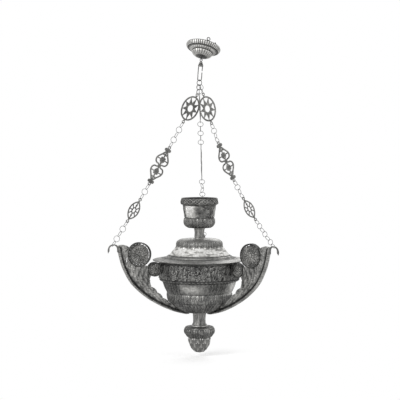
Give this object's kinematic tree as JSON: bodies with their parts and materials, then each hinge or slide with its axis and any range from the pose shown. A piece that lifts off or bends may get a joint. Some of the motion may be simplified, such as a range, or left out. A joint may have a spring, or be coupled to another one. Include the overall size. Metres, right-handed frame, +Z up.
{
  "type": "hanging vigil lamp",
  "caption": "Hanging vigil lamp in worked silver: fluted canopy, hook, three chains of rings and openwork plates, round bowl with three scroll brackets, glass in a cup, and a finial.",
  "frame": {"origin": "the point at the top of the hanging staple where the ceiling hook bears", "axes": "+Z up along the hanging lamp; +X to the right as the lamp is pictured, -Y towards the camera"},
  "size_m": [0.4692, 0.442, 0.8841],
  "materials": {
    "silver": "worked silver, softly polished on the high parts",
    "dark_silver": "worked silver with dark patina in the relief",
    "pale_silver": "plain silver, satin",
    "wire": "drawn silver wire, tarnished",
    "ruby_glass": "clear ruby glass",
    "wick": "undyed cotton"
  },
  "bodies": {
    "canopy": {"canopy_shell": "silver", "canopy_back_plate": "dark_silver", "hanging_staple": "dark_silver", "canopy_eye": "pale_silver", "canopy_eye_nut": "dark_silver", "canopy_rim_eye": "pale_silver", "canopy_rim_stud": "silver"},
    "hook": {"hook_wire": "wire", "hook_ferrule": "dark_silver"},
    "gathering_ring": {"gathering_ring": "wire"},
    "lamp": {"hub_rings_left": "wire", "upper_rings_left": "wire", "middle_rings_left": "wire", "lower_rings_left": "wire", "hub_rings_right": "wire", "upper_rings_right": "wire", "middle_rings_right": "wire", "lower_rings_right": "wire", "hub_rings_back": "wire", "upper_rings_back": "wire", "middle_rings_back": "wire", "lower_rings_back": "wire", "bowl_shell": "dark_silver", "bowl_cover": "silver", "cup_stem": "silver", "cup": "silver", "lower_stem": "silver", "finial_collar": "dark_silver", "finial_bud": "pale_silver", "tie_rod": "dark_silver", "tie_nut": "dark_silver", "bracket_left": "silver", "large_rosette_left": "dark_silver", "small_rosette_left": "dark_silver", "bracket_screw_left": "dark_silver", "bracket_rivet_left": "dark_silver", "bracket_right": "silver", "large_rosette_right": "dark_silver", "small_rosette_right": "dark_silver", "bracket_screw_right": "dark_silver", "bracket_rivet_right": "dark_silver", "bracket_back": "silver", "large_rosette_back": "dark_silver", "small_rosette_back": "dark_silver", "bracket_screw_back": "dark_silver", "bracket_rivet_back": "dark_silver"},
    "medallion_left": {"medallion_left": "dark_silver"},
    "heart_plate_left": {"heart_plate_left": "dark_silver"},
    "oval_plate_left": {"oval_plate_left": "dark_silver"},
    "medallion_right": {"medallion_right": "dark_silver"},
    "heart_plate_right": {"heart_plate_right": "dark_silver"},
    "oval_plate_right": {"oval_plate_right": "dark_silver"},
    "medallion_back": {"medallion_back": "dark_silver"},
    "heart_plate_back": {"heart_plate_back": "dark_silver"},
    "oval_plate_back": {"oval_plate_back": "dark_silver"},
    "oil_glass": {"oil_glass": "ruby_glass"},
    "wick_float": {"wick_float": "pale_silver", "wick": "wick"}
  },
  "joints": [
    {"name": "hook_turn", "type": "hinge", "parent": "canopy", "child": "hook", "pos_m": [0, 0, -0.05368], "axis": [0, 0, 1], "range_deg": [-30, 30]},
    {"name": "gathering_ring_swing", "type": "hinge", "parent": "hook", "child": "gathering_ring", "pos_m": [-0.005, 0, -0.11257], "axis": [1, 0, 0], "range_deg": [-20, 20]},
    {"name": "lamp_swing", "type": "hinge", "parent": "gathering_ring", "child": "lamp", "pos_m": [-0.005, 0, -0.12642], "axis": [0.6691, -0.7431, 0], "range_deg": [-15, 15]},
    {"name": "medallion_left_twist", "type": "hinge", "parent": "lamp", "child": "medallion_left", "pos_m": [-0.03057, -0.01054, -0.18952], "axis": [0.4512, 0.186, 0.8729], "range_deg": [0, 30]},
    {"name": "heart_plate_left_twist", "type": "hinge", "parent": "lamp", "child": "heart_plate_left", "pos_m": [-0.11596, -0.04573, -0.34826], "axis": [0.4774, 0.1968, 0.8564], "range_deg": [-35, 35]},
    {"name": "oval_plate_left_twist", "type": "hinge", "parent": "lamp", "child": "oval_plate_left", "pos_m": [-0.18581, -0.07452, -0.47039], "axis": [0.4975, 0.2051, 0.8429], "range_deg": [-35, 35]},
    {"name": "medallion_right_twist", "type": "hinge", "parent": "lamp", "child": "medallion_right", "pos_m": [0.01738, -0.01748, -0.19066], "axis": [-0.2655, 0.2075, 0.9415], "range_deg": [0, 30]},
    {"name": "heart_plate_right_twist", "type": "hinge", "parent": "lamp", "child": "heart_plate_right", "pos_m": [0.06894, -0.05777, -0.33609], "axis": [-0.3726, 0.2911, 0.8811], "range_deg": [-35, 35]},
    {"name": "oval_plate_right_twist", "type": "hinge", "parent": "lamp", "child": "oval_plate_right", "pos_m": [0.13187, -0.10694, -0.46457], "axis": [-0.4666, 0.3646, 0.8058], "range_deg": [-35, 35]},
    {"name": "medallion_back_twist", "type": "hinge", "parent": "lamp", "child": "medallion_back", "pos_m": [-0.00344, 0.03188, -0.18818], "axis": [-0.0225, -0.4602, 0.8875], "range_deg": [0, 30]},
    {"name": "heart_plate_back_twist", "type": "hinge", "parent": "lamp", "child": "heart_plate_back", "pos_m": [0.00075, 0.11765, -0.34369], "axis": [-0.0246, -0.503, 0.8639], "range_deg": [-35, 35]},
    {"name": "oval_plate_back_twist", "type": "hinge", "parent": "lamp", "child": "oval_plate_back", "pos_m": [0.00468, 0.19803, -0.4758], "axis": [-0.0264, -0.5394, 0.8417], "range_deg": [-35, 35]},
    {"name": "glass_lift", "type": "slide", "parent": "lamp", "child": "oil_glass", "axis": [0, 0, 1], "range_m": [0, 0.09]},
    {"name": "float_lift", "type": "slide", "parent": "oil_glass", "child": "wick_float", "axis": [0, 0, 1], "range_m": [0, 0.045]}
  ]
}
